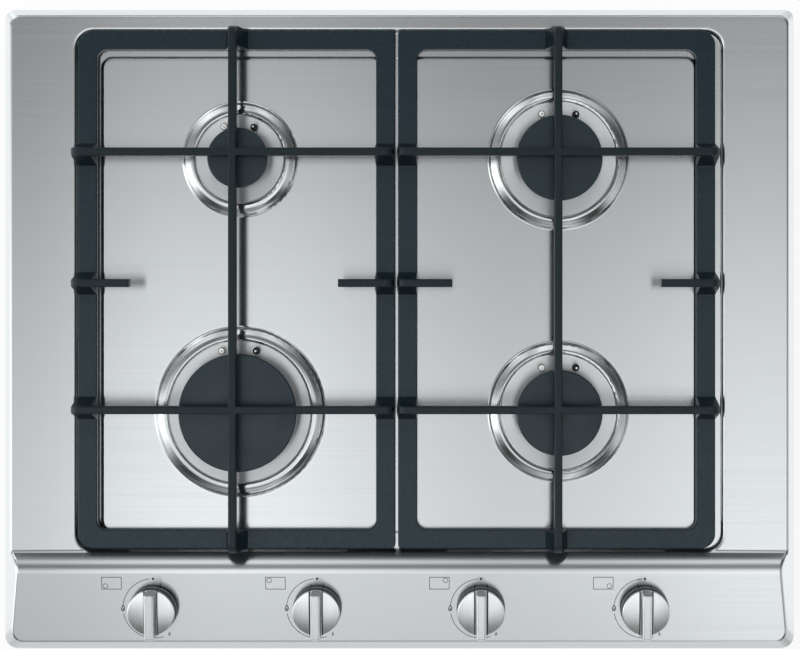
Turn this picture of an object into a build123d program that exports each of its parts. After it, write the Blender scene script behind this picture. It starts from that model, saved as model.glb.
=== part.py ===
from build123d import *

import os
from collections import namedtuple
from math import cos, radians, sin, sqrt, tan

# Built-in gas hob with four burners, two cast pan supports and four push-and-turn knobs, in millimetres.
# Origin: middle of the burner box's underside. +X right, -Y towards the knobs, +Z up.

os.makedirs("parts", exist_ok=True)

# ---------------------------------------------------------------- hob plate, one steel pressing
plate_width = 650.0
plate_depth = 526.0
plate_thickness = 1.0
back_corner_radius = 11.0
front_corner_radius = 15.0
edge_draft = 41.0  # lean of the outer edge, in degrees off vertical
edge_roll = 3.0  # radius where the outer edge turns over
rim_flange = 9.0  # edge folded in flat underneath
rim_height = 46.0  # rim's underside above the box's underside
flat_rise = 7.0  # main flat above the rim's underside

panel_reach = 71.4  # front rim to the ridge behind the knobs
panel_tilt = 7.35  # forward fall of the control panel, in degrees
ridge_rise = 9.0  # ridge above the main flat
slope_run = 9.1  # depth of the slope behind the ridge
ridge_roll = 16.0
slope_root = 4.0

well_depth = 2.5
well_side_margin = 58.8  # outer rim to the well's mouth
well_back_margin = 17.5
well_corner_radius = 13.0
well_draft = 40.0
well_roll = 4.0
well_root = 2.0

plateau_rise = 1.0  # raised field that carries the burners
plateau_side_ledge = 21.7  # width of the ledge between the plateau's foot and the well's mouth
plateau_back_ledge = 22.0
plateau_front_ledge = 15.0
plateau_draft = 60.0
plateau_corner_radius = 9.0
plateau_roll = 4.0
plateau_root = 3.0

seat_rise = 3.5  # burner seat above the plateau
crest_rise = 4.6  # rounded crest that surrounds the seat
crest_roll = 2.0
crest_step = 1.8  # width of the step from crest down to seat
seat_root = 0.8
flank_rise = 2.6  # steep outer flank of the ring, below the gentler shoulder
flank_run = 2.5
flank_roll = 3.0
flank_root = 2.0

# ---------------------------------------------------------------- burner box
cutout_width = 560.0
cutout_depth = 490.0
cutout_clearance = 3.0
cutout_centre_y = -1.0
box_sheet = 0.8
box_corner_radius = 8.0
box_bend_radius = 2.0
plate_seat_gap = 0.2  # walls end this far under the plate
tab_width = 22.0
tab_reach = 26.0
tab_pitch = 175.0
stud_radius = 2.0
stud_length = 9.0
stud_inset = 17.0  # stud from the box's wall
stud_hole_gap = 0.3
nut_height = 3.2
nut_across_flats = 7.0
clamp_pitch_x = 480.0
clamp_pitch_y = 400.0
clamp_hole_radius = 2.1
vent_length = 34.0
vent_width = 4.0
vent_pitch = 10.0
vent_count = 6
strip_thickness = 2.0
strip_width = 6.0
strip_inset = 2.0

# ---------------------------------------------------------------- burners
burner_pitch = 261.0
back_row_y = 139.3
front_row_y = -67.6
BurnerSize = namedtuple("BurnerSize", "cap_radius crest_radius ring_radius sensor_x ports")
auxiliary = BurnerSize(24.4, 37.5, 47.2, 12.0, 18)
semi_rapid = BurnerSize(34.8, 49.0, 57.7, 14.0, 26)
rapid = BurnerSize(47.9, 59.8, 69.7, 14.0, 36)

cap_thickness = 3.5
cap_edge = 1.2
cap_ring_height = 2.0
cap_ring_wall = 2.0
crown_overhang = 2.0  # cap beyond the crown
crown_wall = 4.5  # ring that the flame ports cut through
crown_disc = 3.0
crown_ring_height = 7.0
port_width = 1.8
port_depth = 5.0
tube_radius = 9.0
tube_bore = 6.5
tube_drop = 18.0  # mixing tube below the crown's disc
skirt_height = 2.5
skirt_wall = 1.5
locating_gap = 0.3

cup_inset = 9.0  # cup's wall inside the cap's edge
cup_wall = 2.5
cup_floor = 3.0
cup_base_height = 6.0
cup_flange_inset = 1.0
cup_flange = 2.5
cup_ear_radius = 6.0
collar_height = 3.0  # collar above the seat, which lifts the crown for air
air_windows = 3
air_window_width = 12.0
plate_hole_gap = 0.3
cup_screw_inset = 5.0
cup_screw_radius = 1.5
cup_screw_length = 7.0
cup_screw_head_radius = 2.8
cup_screw_head = 2.0
inlet_boss_radius = 5.0
inlet_boss_reach = 8.0

injector_flats = 9.0
injector_base = 5.0
injector_tip_radius = 2.4
injector_height = 12.0
injector_mouth = 1.0
turret_radius = 5.5
turret_rise = 6.5  # turret's top above the gas pipes

sensor_reach = 4.0  # electrode and thermocouple outside the cap's edge
sensor_tip_height = 11.0  # above the burner seat
insulator_radius = 2.8
insulator_shoulder = 3.8
insulator_drop = 15.0
insulator_height = 8.0
insulator_chamfer = 1.0
pin_radius = 0.8
pin_gap = 0.05
sensor_gap = 0.2
probe_radius = 2.2
sleeve_height = 5.0
sensor_nut_flats = 9.0
sensor_nut = 5.0
sensor_tail_radius = 1.5
sensor_tail = 9.0

# ---------------------------------------------------------------- pan supports
support_side_gap = 5.7  # frame to the well's mouth
support_back_gap = 1.2
support_front_gap = 3.3
support_middle_gap = 2.4  # between the two frames
support_shift = -2.0  # play in the well, with both supports pushed to the left
frame_lift = 2.5  # frame's underside above the well's ledge
frame_height = 5.5
frame_member = 15.6
frame_outer_corner = 12.0
frame_middle_corner = 3.0
frame_opening_corner = 8.0
frame_edge = 1.0
bar_top = 38.0  # above the plateau
bar_width = 6.4
bar_depth = 9.0
bar_end_roll = 7.0
bar_arch = 8.0
bar_edge = 1.2
leg_foot_width = 18.0
bar_row_offset = 3.4  # cross bars stand this far behind the burners' middles
finger_y = 37.5
outer_finger_reach = 47.5
inner_finger_reach = 44.5
foot_inset = 20.5
foot_setback = 6.8  # frame's outer edge to the middle of a foot
foot_pad_width = 5.2
foot_pad_depth = 7.0
foot_lug_outer = 13.0
foot_lug_inner = 16.5
foot_lug_clearance = 0.8

# ---------------------------------------------------------------- knobs and taps
knob_pitch = 133.8
knob_line = 34.7  # front rim to the knobs' axes
knob_radius = 19.75
knob_top_radius = 19.2
knob_gap = 4.5  # panel to the knob's skirt
knob_skirt = 8.5
knob_dome = 1.4
knob_wall = 1.8
knob_edge = 1.0
knob_hub_radius = 6.0
knob_hub_start = 8.0
grip_width = 9.4
grip_height = 24.5
grip_back = 19.2
grip_front = 20.6
grip_taper = 3.0
grip_edge = 1.6
grip_corner = 2.3
grip_slot = 10.0  # width of the sunk strip that the grip stands in
grip_slot_floor = 12.6  # above the panel
push_travel = 3.5

spindle_radius = 3.0
spindle_top = 17.0
spindle_foot = 16.0
spindle_flat = 2.2
spindle_flange_radius = 5.0
spindle_flange = 2.0
running_gap = 0.05
fit_gap = 0.1
plunger_radius = 6.9
plunger_height = 6.0
plunger_rod_radius = 1.6
plunger_rod = 8.0

nose_radius = 7.0
nose_top = 2.7
nose_hole_gap = 0.3
tap_nut_flats = 19.0
tap_nut_height = 2.2
tap_collar_radius = 10.5
tap_collar = 5.0
tap_width = 24.0
tap_depth = 22.0
tap_corner = 3.0
tap_length = 30.0
tap_stem_radius = 8.0
tap_stem = 17.0
pipe_level = 12.0
outlet_radius = 5.0
outlet_reach = 24.0  # outlet's face behind the knobs' line

rail_radius = 7.0
rail_wall = 1.2
rail_level = 28.5
rail_setback = 23.8  # rail behind the knobs' line
rail_left_end = 20.0
rail_right_x = 245.0
rail_bend = 22.0
saddle_width = 18.0
saddle_rise = 15.0
saddle_drop = 8.5
strap_depth = 9.5
strap_screw_height = 11.0
strap_screw_radius = 2.0
strap_screw_head_radius = 3.5
strap_screw_head = 2.6

pipe_radius = 3.0
pipe_bend = 14.0
union_flats = 12.0
union_length = 9.0

inlet_thread_radius = 10.48
inlet_thread_length = 15.0
inlet_relief_radius = 9.6
inlet_relief = 1.5  # relief between the back wall and the thread
inlet_bore_radius = 6.0
inlet_hex_flats = 27.0
inlet_hex = 8.0
inlet_neck_radius = 9.0
inlet_neck = 8.0

switch_width = 7.0
switch_depth = 16.0
switch_length = 12.0
switch_start = 9.0
generator_width = 40.0
generator_depth = 64.0
generator_height = 24.0
generator_x = -238.0
generator_y = -40.0
generator_edge = 2.0
generator_ear = 9.0
generator_ear_thickness = 2.0
terminal_radius = 3.0
terminal_length = 7.0
terminal_pitch = 12.0
block_width = 52.0
block_depth = 20.0
block_height = 18.0
terminal_wall_gap = 22.0
gland_x = -205.0
gland_level = 24.0
gland_bore_radius = 4.2
gland_radius = 8.0
gland_head_radius = 10.5
gland_head = 6.0
gland_head_taper = 1.0
gland_tail = 8.0

# ---------------------------------------------------------------- levels and lines worked out from the sizes
flat_z = rim_height + flat_rise
ledge_z = flat_z - well_depth
plateau_z = ledge_z + plateau_rise
seat_z = plateau_z + seat_rise
crest_z = plateau_z + crest_rise
ridge_z = flat_z + ridge_rise
under_seat_z = seat_z - plate_thickness
under_ledge_z = ledge_z - plate_thickness
crown_base_z = seat_z + collar_height
turret_top = pipe_level + turret_rise
crown_top_z = crown_base_z + crown_disc + crown_ring_height
frame_bottom_z = ledge_z + frame_lift
frame_top_z = frame_bottom_z + frame_height
bar_top_z = plateau_z + bar_top
bar_under_z = bar_top_z - bar_depth

front_y = -plate_depth / 2
ridge_y = front_y + panel_reach
foot_y = ridge_y + slope_run
well_back_y = plate_depth / 2 - well_back_margin
well_side_x = plate_width / 2 - well_side_margin
plateau_side_x = well_side_x - plateau_side_ledge
plateau_back_y = well_back_y - plateau_back_ledge
plateau_front_y = foot_y + plateau_front_ledge
knob_y = front_y + knob_line
rail_y = knob_y + rail_setback

box_width = cutout_width - 2 * cutout_clearance
box_depth = cutout_depth - 2 * cutout_clearance
box_back_y = cutout_centre_y + box_depth / 2
box_inner_x = box_width / 2 - box_sheet

Burner = namedtuple("Burner", "name x y size knob_x")
burners = [
    Burner("left_front", -burner_pitch / 2, front_row_y, rapid, -1.5 * knob_pitch),
    Burner("left_back", -burner_pitch / 2, back_row_y, auxiliary, -0.5 * knob_pitch),
    Burner("right_back", burner_pitch / 2, back_row_y, semi_rapid, 0.5 * knob_pitch),
    Burner("right_front", burner_pitch / 2, front_row_y, semi_rapid, 1.5 * knob_pitch),
]


def panel_height(y):
    """Height of the control panel's skin at depth y."""
    return ridge_z - (ridge_y - y) * tan(radians(panel_tilt))


# ---------------------------------------------------------------- helpers
def save(piece, name):
    """Label a finished piece and write it out."""
    piece.part.label = name
    export_step(piece.part, f"parts/{name}.step")


def upright(x, y):
    """Frame on a vertical axis through (x, y), at the underside of the box."""
    return Plane(origin=(x, y, 0))


def panel_frame(x):
    """Frame on a knob's axis: origin on the panel's skin, local Z along the outward normal."""
    tilt = radians(panel_tilt)
    return Plane(origin=(x, knob_y, panel_height(knob_y)), x_dir=(1, 0, 0), z_dir=(0, -sin(tilt), cos(tilt)))


def meridian(frame):
    """Plane through the frame's axis; its local X is the radius and its local Y runs along the axis."""
    return Plane(origin=frame.origin, x_dir=frame.x_dir, z_dir=frame.x_dir.cross(frame.z_dir))


def level(frame, height):
    """The frame moved along its own axis."""
    return frame.offset(height)


def facing_back(x, y, z):
    """Plane whose normal points towards +Y, with local X along +X."""
    return Plane(origin=(x, y, z), x_dir=(1, 0, 0), z_dir=(0, 1, 0))


def turned(frame, points, mode=Mode.ADD):
    """Turn a closed outline of (radius, height) points round the frame's axis."""
    with BuildSketch(meridian(frame)) as outline:
        with BuildLine():
            Polyline(*points, close=True)
        make_face()
    revolve(outline.sketch, axis=Axis(frame.origin, frame.z_dir), mode=mode)


def post(plane, radius, length, mode=Mode.ADD):
    """Cylinder that starts on the plane and runs along its normal."""
    with BuildSketch(plane) as section:
        Circle(radius)
    extrude(section.sketch, amount=length, mode=mode)


def hex_post(plane, across_flats, length, mode=Mode.ADD):
    """Hexagonal bar that starts on the plane and runs along its normal."""
    with BuildSketch(plane) as section:
        RegularPolygon(across_flats / 2, 6, major_radius=False)
    extrude(section.sketch, amount=length, mode=mode)


def tube_along(points, radius, bend, bore=0.0):
    """Round tube along straight runs joined by tangent arcs."""
    with BuildLine() as route:
        FilletPolyline(*points, radius=bend)
    with BuildSketch(Plane(origin=route.line @ 0, z_dir=route.line % 0)) as section:
        Circle(radius)
        if bore > 0:
            Circle(bore, mode=Mode.SUBTRACT)
    sweep(section.sketch, path=route.line)


# ---------------------------------------------------------------- hob plate
def skin_profile(inset):
    """Side view of all that lies under the plate's skin, moved inwards by inset."""
    with BuildSketch(Plane.YZ) as profile:
        with BuildLine():
            Polyline(
                (plate_depth, 0),
                (plate_depth, flat_z),
                (foot_y, flat_z),
                (ridge_y, ridge_z),
                (-plate_depth, panel_height(-plate_depth)),
                (-plate_depth, 0),
                close=True,
            )
        make_face()
        if inset > 0:
            offset(amount=-inset, kind=Kind.INTERSECTION)
        fillet(profile.vertices().sort_by_distance((ridge_y, ridge_z))[0], ridge_roll - inset)
        fillet(profile.vertices().sort_by_distance((foot_y, flat_z))[0], slope_root + inset)
    return profile.sketch


def well_tool(inset):
    """Block that cuts the well, with leaning walls and a rounded floor edge."""
    lean = tan(radians(well_draft))
    grow = inset / cos(radians(well_draft)) - (well_depth + inset) * lean
    length = well_back_y - foot_y
    with BuildPart() as tool:
        with BuildSketch(Plane.XY.offset(ledge_z - inset)):
            with Locations((0, (well_back_y + foot_y) / 2)):
                RectangleRounded(2 * (well_side_x + grow), length + 2 * grow, well_corner_radius)
        extrude(amount=ridge_z - ledge_z, taper=-well_draft)
        fillet(tool.faces().sort_by(Axis.Z)[0].edges(), well_root + inset)
    return tool.part


def plateau_form(inset):
    """Raised field inside the well."""
    lean = tan(radians(plateau_draft))
    grow = inset * lean - inset / cos(radians(plateau_draft))
    depth = plateau_back_y - plateau_front_y
    with BuildPart() as field:
        with BuildSketch(Plane.XY.offset(ledge_z - inset)):
            with Locations((0, (plateau_back_y + plateau_front_y) / 2)):
                RectangleRounded(2 * (plateau_side_x + grow), depth + 2 * grow, plateau_corner_radius)
        extrude(amount=plateau_rise, taper=plateau_draft)
        fillet(field.faces().sort_by(Axis.Z)[-1].edges(), plateau_roll - inset)
    return field.part


def seat_form(burner, inset):
    """Raised burner seat with its rounded crest, turned round the burner's axis."""
    size = burner.size
    frame = upright(burner.x, burner.y)
    margin = 4 * flank_root
    base_z = rim_height
    step_radius = size.crest_radius - crest_step
    shoulder = (size.ring_radius - flank_run, plateau_z + flank_rise)
    with BuildPart() as ring:
        with BuildSketch(meridian(frame)) as profile:
            with BuildLine():
                Polyline(
                    (-size.ring_radius, base_z),
                    (size.ring_radius + margin, base_z),
                    (size.ring_radius + margin, plateau_z),
                    (size.ring_radius, plateau_z),
                    shoulder,
                    (size.crest_radius, crest_z),
                    (step_radius, seat_z),
                    (-size.ring_radius, seat_z),
                    close=True,
                )
            make_face()
            if inset > 0:
                offset(amount=-inset, kind=Kind.INTERSECTION)
            fillet(profile.vertices().sort_by_distance((size.ring_radius, plateau_z))[0], flank_root + inset)
            fillet(profile.vertices().sort_by_distance(shoulder)[0], flank_roll - inset)
            fillet(profile.vertices().sort_by_distance((size.crest_radius, crest_z))[0], crest_roll - inset)
            fillet(profile.vertices().sort_by_distance((step_radius, seat_z))[0], seat_root + inset)
            with Locations(((size.ring_radius + flank_root) / 2, (base_z + crest_z) / 2)):
                Rectangle(size.ring_radius + flank_root, crest_z - base_z, mode=Mode.INTERSECT)
        revolve(profile.sketch, axis=Axis(frame.origin, frame.z_dir))
    return ring.part


def lowest(shape):
    return shape.bounding_box().min.Z


def highest(shape):
    return shape.bounding_box().max.Z


def pressing(inset):
    """Solid bounded by the plate's skin moved inwards by inset, open downwards at the rim's underside."""
    side_inset = inset / cos(radians(edge_draft))
    touch = plate_thickness / 100
    with BuildPart() as form:
        with BuildSketch(Plane.XY.offset(rim_height)) as outline:
            Rectangle(plate_width - 2 * side_inset, plate_depth - 2 * side_inset)
        extrude(amount=ridge_z - rim_height, taper=edge_draft)
        corners = form.edges().filter_by(lambda edge: highest(edge) - lowest(edge) > touch).group_by(Axis.Y)
        fillet(corners[0], front_corner_radius - inset)
        corners = form.edges().filter_by(lambda edge: highest(edge) - lowest(edge) > touch).group_by(Axis.Y)
        fillet(corners[-1], back_corner_radius - inset)
        extrude(skin_profile(inset), amount=plate_width, both=True, mode=Mode.INTERSECT)
        edge_faces = form.faces().filter_by(lambda face: lowest(face) < rim_height + touch < highest(face))
        top_faces = form.faces().filter_by(lambda face: lowest(face) > rim_height + touch)
        fillet(top_faces.edges() & edge_faces.edges(), edge_roll - inset)

        add(well_tool(inset), mode=Mode.SUBTRACT)
        inside = form.faces().filter_by(
            lambda face: abs(face.center().X) < well_side_x and foot_y < face.center().Y < well_back_y
        )
        walls = inside.filter_by(lambda face: ledge_z - inset - touch < lowest(face) < flat_z - inset - touch)
        walls = walls.filter_by(lambda face: highest(face) > flat_z - inset - touch)
        around = form.faces().filter_by(lambda face: lowest(face) > flat_z - inset - touch)
        fillet(walls.edges() & around.edges(), well_roll - inset)

        add(plateau_form(inset))
        low_faces = form.faces().filter_by(lambda face: abs(lowest(face) - ledge_z + inset) < touch)
        ledge = low_faces.filter_by(lambda face: highest(face) - lowest(face) < touch)
        flanks = low_faces.filter_by(lambda face: highest(face) - lowest(face) > touch)
        flanks = flanks.filter_by(
            lambda face: abs(face.center().X) < plateau_side_x
            and plateau_front_y < face.center().Y < plateau_back_y
        )
        fillet(ledge.edges() & flanks.edges(), plateau_root + inset)
        for burner in burners:
            add(seat_form(burner, inset))
    return form.part


def sensor_y(burner):
    """Distance behind the burner's middle at which its electrode and thermocouple stand."""
    reach = burner.size.cap_radius + sensor_reach
    return sqrt(reach**2 - burner.size.sensor_x**2)


def cup_radius(burner):
    return burner.size.cap_radius - cup_inset


def screw_places(burner):
    """Middles of the two screws that hold a burner cup to the plate."""
    reach = burner.size.cap_radius - cup_screw_inset
    return [(burner.x - reach, burner.y), (burner.x + reach, burner.y)]


stud_x = box_width / 2 - stud_inset
stud_places = [(side * stud_x, row * tab_pitch) for side in (-1, 1) for row in (-1, 0, 1)]


skin = pressing(0)
hollow = pressing(plate_thickness)
under_plate = pressing(plate_thickness + plate_seat_gap)


def make_hob_plate():
    """Pressed plate with its folded rim, its holes and the weld studs that carry the burner box."""
    with BuildPart() as hob_plate:
        add(skin)
        add(hollow, mode=Mode.SUBTRACT)
        with BuildSketch(Plane.XY.offset(rim_height)):
            Rectangle(plate_width, plate_depth)
            RectangleRounded(
                plate_width - 2 * rim_flange,
                plate_depth - 2 * rim_flange,
                back_corner_radius,
                mode=Mode.SUBTRACT,
            )
        flange = extrude(amount=plate_thickness, mode=Mode.PRIVATE)
        add(flange.intersect(skin))
        for burner in burners:
            post(upright(burner.x, burner.y), cup_radius(burner) + plate_hole_gap, ridge_z, Mode.SUBTRACT)
            for side in (-1, 1):
                spot = upright(burner.x + side * burner.size.sensor_x, burner.y + sensor_y(burner))
                post(spot, insulator_radius + sensor_gap, ridge_z, Mode.SUBTRACT)
            for x, y in screw_places(burner):
                post(upright(x, y), cup_screw_radius + sensor_gap, ridge_z, Mode.SUBTRACT)
            nose = level(panel_frame(burner.knob_x), -2 * plate_thickness)
            post(nose, nose_radius + nose_hole_gap, 4 * plate_thickness, Mode.SUBTRACT)
        for x, y in stud_places:
            post(level(upright(x, y), under_ledge_z), stud_radius, -stud_length)
    save(hob_plate, "hob_plate")


# ---------------------------------------------------------------- burner box and seal
def make_burner_box():
    """Sheet steel tray under the plate, with inward tabs on the plate's studs."""
    with BuildPart() as burner_box:
        with BuildSketch() as outline:
            with Locations((0, cutout_centre_y)):
                RectangleRounded(box_width, box_depth, box_corner_radius)
        extrude(outline.sketch, amount=ridge_z)
        fillet(burner_box.faces().sort_by(Axis.Z)[0].edges(), box_bend_radius)
        with BuildSketch(Plane.XY.offset(box_sheet)) as inner_outline:
            with Locations((0, cutout_centre_y)):
                RectangleRounded(
                    box_width - 2 * box_sheet, box_depth - 2 * box_sheet, box_corner_radius - box_sheet
                )
        inner_space = extrude(inner_outline.sketch, amount=ridge_z, mode=Mode.PRIVATE)
        floor_edges = inner_space.faces().sort_by(Axis.Z)[0].edges()
        add(inner_space.fillet(box_bend_radius - box_sheet, floor_edges), mode=Mode.SUBTRACT)
        with BuildSketch(Plane.XY.offset(rim_height)) as above_outline:
            Rectangle(plate_width, plate_depth)
        above_rim = extrude(above_outline.sketch, amount=ridge_z, mode=Mode.PRIVATE)
        add(above_rim - under_plate, mode=Mode.SUBTRACT)
        for x, y in stud_places:
            side = 1 if x > 0 else -1
            with BuildSketch(Plane.XY.offset(under_ledge_z - box_sheet)) as tab:
                with Locations((side * (box_inner_x + box_sheet / 2 - tab_reach / 2), y)):
                    Rectangle(tab_reach, tab_width)
            extrude(tab.sketch, amount=box_sheet)
            hole_start = level(upright(x, y), under_ledge_z - stud_length)
            post(hole_start, stud_radius + stud_hole_gap, stud_length, Mode.SUBTRACT)
        with BuildSketch() as floor_holes:
            with Locations((0, cutout_centre_y)):
                with GridLocations(clamp_pitch_x, clamp_pitch_y, 2, 2):
                    Circle(clamp_hole_radius)
            for burner in burners:
                with Locations((burner.x, burner.y)):
                    with GridLocations(0, vent_pitch, 1, vent_count):
                        SlotOverall(vent_length, vent_width)
        extrude(floor_holes.sketch, amount=box_sheet, mode=Mode.SUBTRACT)
        back_wall_y = box_back_y - 2 * box_sheet
        for x, z, radius in (
            (rail_right_x, rail_level, inlet_thread_radius),
            (gland_x, gland_level, gland_radius),
        ):
            post(facing_back(x, back_wall_y, z), radius + fit_gap, 4 * box_sheet, Mode.SUBTRACT)
    save(burner_box, "burner_box")


def make_box_nuts():
    with BuildPart() as box_nuts:
        for x, y in stud_places:
            spot = level(upright(x, y), under_ledge_z - box_sheet)
            hex_post(spot, nut_across_flats, -nut_height)
            post(spot, stud_radius + fit_gap, -nut_height, Mode.SUBTRACT)
    save(box_nuts, "box_nuts")


def make_sealing_strip():
    """Foam strip under the folded rim, which seals the hob to the worktop."""
    with BuildPart() as sealing_strip:
        with BuildSketch(Plane.XY.offset(rim_height - strip_thickness)):
            for inset, mode in ((strip_inset, Mode.ADD), (strip_inset + strip_width, Mode.SUBTRACT)):
                RectangleRounded(
                    plate_width - 2 * inset, plate_depth - 2 * inset, front_corner_radius - inset, mode=mode
                )
        extrude(amount=strip_thickness)
    save(sealing_strip, "sealing_strip")


# ---------------------------------------------------------------- burners
def make_cap(burner):
    """Enamelled lid with a ring underneath that centres it in the crown."""
    radius = burner.size.cap_radius
    ring_radius = radius - crown_overhang - crown_wall - locating_gap
    with BuildPart() as cap:
        frame = level(upright(burner.x, burner.y), crown_top_z)
        post(frame, radius, cap_thickness)
        fillet(cap.faces().sort_by(Axis.Z)[-1].edges(), cap_edge)
        post(frame, ring_radius, -cap_ring_height)
        post(frame, ring_radius - cap_ring_wall, -cap_ring_height, Mode.SUBTRACT)
    save(cap, f"burner_cap_{burner.name}")


def make_crown(burner):
    """Flame spreader: slotted ring on a disc, with a mixing tube and a skirt that sits in the cup."""
    outer = burner.size.cap_radius - crown_overhang
    inner = outer - crown_wall
    skirt = cup_radius(burner) - cup_wall - locating_gap
    disc_top = crown_base_z + crown_disc
    with BuildPart() as crown:
        turned(
            upright(burner.x, burner.y),
            [
                (tube_bore, crown_base_z - tube_drop),
                (tube_radius, crown_base_z - tube_drop),
                (tube_radius, crown_base_z),
                (skirt - skirt_wall, crown_base_z),
                (skirt - skirt_wall, crown_base_z - skirt_height),
                (skirt, crown_base_z - skirt_height),
                (skirt, crown_base_z),
                (outer, crown_base_z),
                (outer, crown_top_z),
                (inner, crown_top_z),
                (inner, disc_top),
                (tube_bore, disc_top),
            ],
        )
        with Locations(Plane(origin=(burner.x, burner.y, crown_top_z - port_depth / 2))):
            with PolarLocations((outer + inner) / 2, burner.size.ports):
                Box(2 * crown_wall, port_width, port_depth, mode=Mode.SUBTRACT)
    save(crown, f"burner_crown_{burner.name}")


def make_cup(burner):
    """Burner cup under the plate, with a windowed collar, sensor ears and a gas inlet boss."""
    wall = cup_radius(burner)
    bore = wall - cup_wall
    flange_z = under_seat_z - cup_flange
    sensors = [(burner.x + side * burner.size.sensor_x, burner.y + sensor_y(burner)) for side in (-1, 1)]
    with BuildPart() as cup:
        frame = upright(burner.x, burner.y)
        with BuildSketch(Plane.XY.offset(flange_z)) as flange:
            with Locations((burner.x, burner.y)):
                Circle(burner.size.cap_radius - cup_flange_inset)
            with Locations(*sensors):
                Circle(cup_ear_radius)
        extrude(flange.sketch, amount=cup_flange)
        post(level(frame, cup_base_height), wall, crown_base_z - cup_base_height)
        cavity_floor = cup_base_height + cup_floor
        post(level(frame, cavity_floor), bore, crown_base_z - cavity_floor, Mode.SUBTRACT)
        post(facing_back(burner.x, burner.y, pipe_level), inlet_boss_radius, -(wall + inlet_boss_reach))
        post(level(frame, cup_base_height), turret_radius, turret_top - cup_base_height)
        with Locations(Plane(origin=(burner.x, burner.y, seat_z + collar_height / 2))):
            with PolarLocations(wall, air_windows, start_angle=90):
                Box(3 * cup_wall, air_window_width, collar_height, mode=Mode.SUBTRACT)
        for x, y in sensors:
            post(level(upright(x, y), flange_z), insulator_radius + sensor_gap, cup_flange, Mode.SUBTRACT)
        for x, y in screw_places(burner):
            post(level(upright(x, y), flange_z), cup_screw_radius + fit_gap, cup_flange, Mode.SUBTRACT)
    save(cup, f"burner_cup_{burner.name}")


def make_cup_screws():
    with BuildPart() as cup_screws:
        for burner in burners:
            for x, y in screw_places(burner):
                spot = level(upright(x, y), seat_z)
                post(spot, cup_screw_radius, -cup_screw_length)
                post(spot, cup_screw_head_radius, cup_screw_head)
    save(cup_screws, "cup_screws")


def make_injectors():
    """Hexagonal jets with a tapered tip, standing on the cups' turrets."""
    with BuildPart() as injectors:
        for burner in burners:
            frame = level(upright(burner.x, burner.y), turret_top)
            hex_post(frame, injector_flats, injector_base)
            turned(
                frame,
                [
                    (0, injector_base),
                    (injector_flats / 2, injector_base),
                    (injector_tip_radius, injector_height),
                    (injector_mouth, injector_height),
                    (0, injector_height - injector_mouth),
                ],
            )
    save(injectors, "injectors")


def make_electrode(burner):
    """White ceramic insulator with a shoulder under the cup's ear."""
    ear_z = under_seat_z - cup_flange
    bore = pin_radius + pin_gap
    top = seat_z + insulator_height
    with BuildPart() as electrode:
        turned(
            upright(burner.x - burner.size.sensor_x, burner.y + sensor_y(burner)),
            [
                (bore, ear_z - insulator_drop),
                (insulator_shoulder, ear_z - insulator_drop),
                (insulator_shoulder, ear_z),
                (insulator_radius, ear_z),
                (insulator_radius, top - insulator_chamfer),
                (insulator_radius - insulator_chamfer, top),
                (bore, top),
            ],
        )
    save(electrode, f"ignition_electrode_{burner.name}")


def make_ignition_pins():
    start = under_seat_z - cup_flange - insulator_drop
    with BuildPart() as ignition_pins:
        for burner in burners:
            spot = upright(burner.x - burner.size.sensor_x, burner.y + sensor_y(burner))
            post(level(spot, start), pin_radius, seat_z + sensor_tip_height - start)
    save(ignition_pins, "ignition_pins")


def make_thermocouple(burner):
    """Flame sensor: rounded probe on a sleeve, with a nut under the cup's ear and a tail for its lead."""
    ear_z = under_seat_z - cup_flange
    with BuildPart() as thermocouple:
        spot = upright(burner.x + burner.size.sensor_x, burner.y + sensor_y(burner))
        post(level(spot, ear_z), insulator_radius, seat_z + sleeve_height - ear_z)
        post(level(spot, seat_z + sleeve_height), probe_radius, sensor_tip_height - sleeve_height)
        fillet(thermocouple.edges().sort_by(Axis.Z)[-1], probe_radius / 2)
        hex_post(level(spot, ear_z), sensor_nut_flats, -sensor_nut)
        post(level(spot, ear_z - sensor_nut), sensor_tail_radius, -sensor_tail)
    save(thermocouple, f"thermocouple_{burner.name}")


# ---------------------------------------------------------------- pan supports
support_inner_x = support_middle_gap / 2
support_outer_x = well_side_x - support_side_gap
support_back_y = well_back_y - support_back_gap
support_front_y = foot_y + support_front_gap
support_width = support_outer_x - support_inner_x
support_depth = support_back_y - support_front_y
support_mid_x = (support_outer_x + support_inner_x) / 2
support_mid_y = (support_back_y + support_front_y) / 2
leg_start_z = frame_top_z - frame_height / 2


def bar_outline(length, far_leg):
    """Side view of a bar: legs on the frame at one or both ends, rounded over at the top."""
    points = [(0, leg_start_z), (0, bar_top_z), (length, bar_top_z)]
    if far_leg:
        inside = length - frame_member
        points += [(length, leg_start_z), (inside, leg_start_z), (inside, bar_under_z)]
    else:
        points += [(length, bar_under_z)]
    points += [(frame_member, bar_under_z), (frame_member, leg_start_z)]
    with BuildSketch() as side:
        with BuildLine():
            Polyline(*points, close=True)
        make_face()
        rolled = [(0, bar_top_z)] + ([(length, bar_top_z)] if far_leg else [])
        arched = [(frame_member, bar_under_z)] + ([(length - frame_member, bar_under_z)] if far_leg else [])
        for corners, radius in ((rolled, bar_end_roll), (arched, bar_arch)):
            for corner in corners:
                fillet(side.vertices().sort_by_distance(corner)[0], radius)
    return side.sketch


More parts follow.
